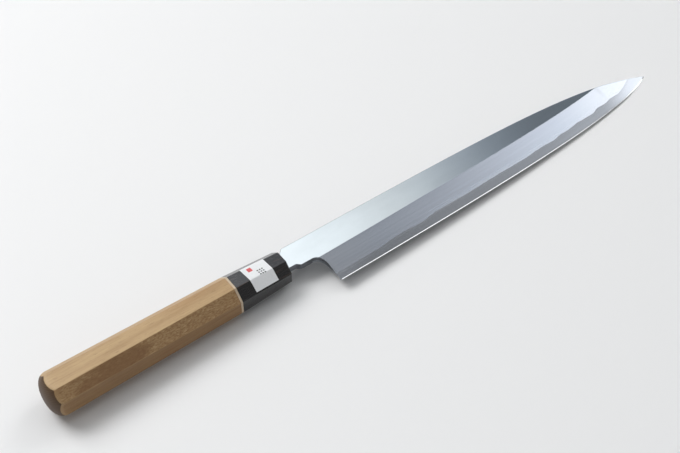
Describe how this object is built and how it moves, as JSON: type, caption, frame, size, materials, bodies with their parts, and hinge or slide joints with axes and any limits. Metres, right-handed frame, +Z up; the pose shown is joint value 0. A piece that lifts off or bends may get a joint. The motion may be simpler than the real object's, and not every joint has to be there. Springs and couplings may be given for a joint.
{
  "type": "yanagiba knife",
  "caption": "Single-bevel Japanese slicing knife: long narrow laminated blade, hollow back, octagonal wooden handle with horn ferrule, lying bevel side up.",
  "frame": {"origin": "middle of the bounding box, on the table plane that the knife rests on", "axes": "+X towards the tip, +Y towards the spine (the cutting edge is on the -Y side), +Z up, out of the bevelled side"},
  "size_m": [0.4038, 0.0356, 0.0237],
  "materials": {
    "iron_cladding": "mirror-polished flat face, fine satin bevel",
    "edge_steel": "polished darker steel with a misty line where it meets the iron",
    "handle_wood": "satin oiled brown hardwood with fine straight grain and flecks",
    "horn": "polished black buffalo horn",
    "pale_ring": "satin pale horn",
    "dowel_wood": "bare pale wood",
    "resin": "clear amber resin",
    "seal": "dark matt sealing wax",
    "label_paper": "smooth white paper"
  },
  "bodies": {
    "root": {"blade_cladding": "iron_cladding", "blade_edge_steel": "edge_steel", "handle_wood": "handle_wood", "ferrule": "horn", "spacer_ring": "pale_ring", "ferrule_dowel": "dowel_wood", "tang_bedding": "resin", "mouth_seal": "seal", "paper_label": "label_paper"}
  },
  "joints": []
}
